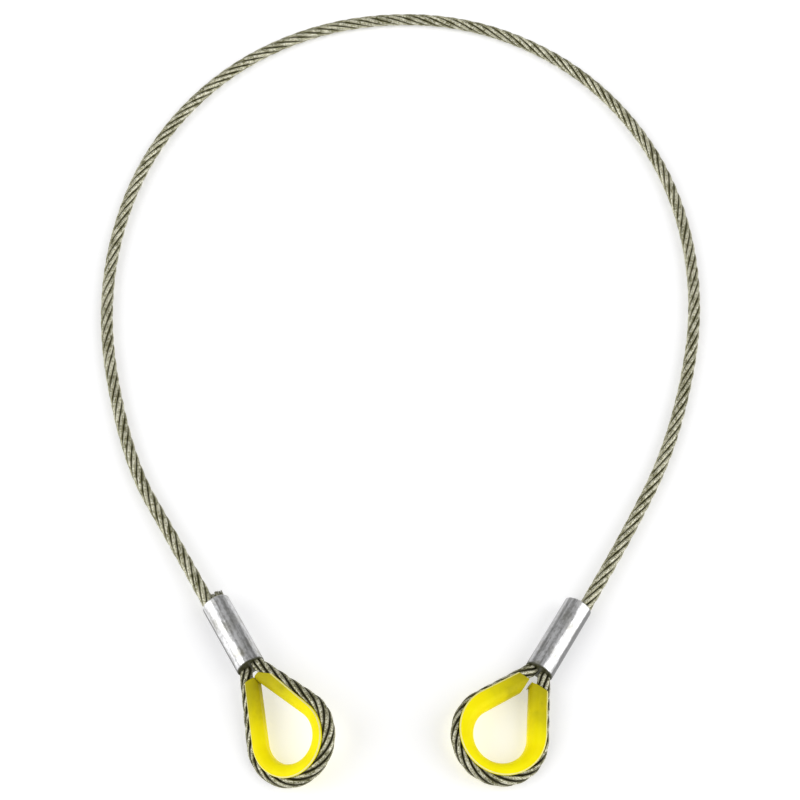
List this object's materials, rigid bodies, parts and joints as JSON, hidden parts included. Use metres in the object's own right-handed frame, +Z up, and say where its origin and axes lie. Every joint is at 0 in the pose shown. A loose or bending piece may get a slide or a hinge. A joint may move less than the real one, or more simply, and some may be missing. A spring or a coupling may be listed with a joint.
{
  "type": "wire rope sling",
  "caption": "Steel wire rope leg with a thimble eye at each end, held by pressed ferrules, for hanging or pulling a load.",
  "frame": {"origin": "on the floor under the middle of the two eyes and their ferrules", "axes": "+X from the left eye to the right eye, +Y from the eyes towards the bow of the rope, +Z up from the floor"},
  "size_m": [0.3902, 0.5707, 0.0319],
  "materials": {
    "rope_strands": "galvanised wires with dark grease in the grooves",
    "rope_core": "greased wires",
    "ferrule": "pressed, satin with lengthwise streaks",
    "thimble": "satin yellow paint, worn pale at the flange edges",
    "cut_wire_ends": "cut bright wire ends"
  },
  "bodies": {
    "left_eye": {"left_eye_strands": "rope_strands", "left_eye_core": "rope_core", "left_ferrule": "ferrule", "left_thimble": "thimble", "left_dead_end": "cut_wire_ends"},
    "leg_1": {"leg_1_strands": "rope_strands", "leg_1_core": "rope_core"},
    "leg_2": {"leg_2_strands": "rope_strands", "leg_2_core": "rope_core"},
    "leg_3": {"leg_3_strands": "rope_strands", "leg_3_core": "rope_core"},
    "leg_4": {"leg_4_strands": "rope_strands", "leg_4_core": "rope_core"},
    "leg_5": {"leg_5_strands": "rope_strands", "leg_5_core": "rope_core"},
    "right_eye": {"right_eye_strands": "rope_strands", "right_eye_core": "rope_core", "right_ferrule": "ferrule", "right_thimble": "thimble"}
  },
  "joints": [
    {"name": "left_neck_bend", "type": "hinge", "parent": "leg_1", "child": "left_eye", "pos_m": [-0.12943, 0.07254, 0.00685], "axis": [0, 0, -1], "range_deg": [-5, 30], "stiffness_Nm_per_rad": 0.5},
    {"name": "left_side_lift", "type": "hinge", "parent": "leg_2", "child": "leg_1", "pos_m": [-0.18816, 0.29052, 0.004], "axis": [-0.9953, 0.0973, 0], "range_deg": [0, 35], "stiffness_Nm_per_rad": 0.3},
    {"name": "left_bow_bend", "type": "hinge", "parent": "leg_3", "child": "leg_2", "pos_m": [-0.08963, 0.46698, 0.004], "axis": [0, 0, -1], "range_deg": [-2, 40], "stiffness_Nm_per_rad": 0.3},
    {"name": "right_bow_bend", "type": "hinge", "parent": "leg_3", "child": "leg_4", "pos_m": [0.0971, 0.46702, 0.004], "axis": [0, 0, 1], "range_deg": [-2, 40], "stiffness_Nm_per_rad": 0.3},
    {"name": "right_side_lift", "type": "hinge", "parent": "leg_4", "child": "leg_5", "pos_m": [0.19228, 0.28881, 0.004], "axis": [-0.9978, -0.0663, 0], "range_deg": [0, 35], "stiffness_Nm_per_rad": 0.3},
    {"name": "right_neck_bend", "type": "hinge", "parent": "leg_5", "child": "right_eye", "pos_m": [0.12948, 0.07107, 0.00659], "axis": [0, 0, 1], "range_deg": [-5, 30], "stiffness_Nm_per_rad": 0.5}
  ]
}
